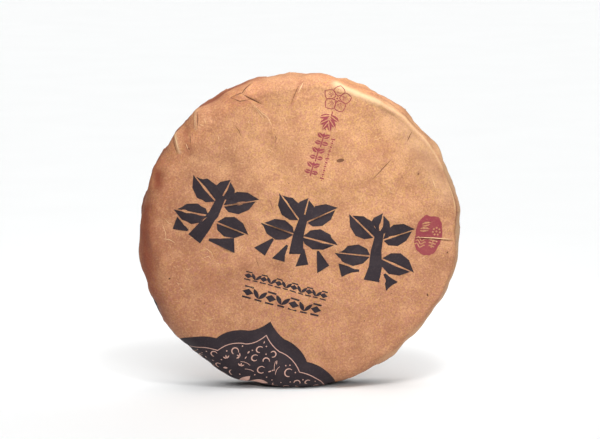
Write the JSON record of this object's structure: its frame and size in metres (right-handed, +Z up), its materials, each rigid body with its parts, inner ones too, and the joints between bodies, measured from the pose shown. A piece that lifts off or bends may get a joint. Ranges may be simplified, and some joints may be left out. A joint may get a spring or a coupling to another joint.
{
  "type": "paper-wrapped pu erh tea cake",
  "caption": "Round disc of pressed dark tea in a pleated kraft paper wrap, standing on its edge with the smooth printed face to the front.",
  "frame": {"origin": "centre of the wrapped cake's box in X and Y, on the surface that it stands on", "axes": "+Z up; the disc's axis lies along Y, the printed face looks to -Y, the pleated back to +Y, and +X is to the right of someone who looks at the printed face"},
  "size_m": [0.106, 0.021, 0.1037],
  "materials": {
    "kraft_paper": "soft matt brown kraft paper with fine mottled fibres, creased at the edge and pleated on the back",
    "dark_ink": "matt blue-black printing ink on kraft paper",
    "plum_ink": "matt plum red printing ink on kraft paper"
  },
  "bodies": {
    "root": {"wrapped_tea_cake": "kraft_paper"}
  },
  "joints": []
}
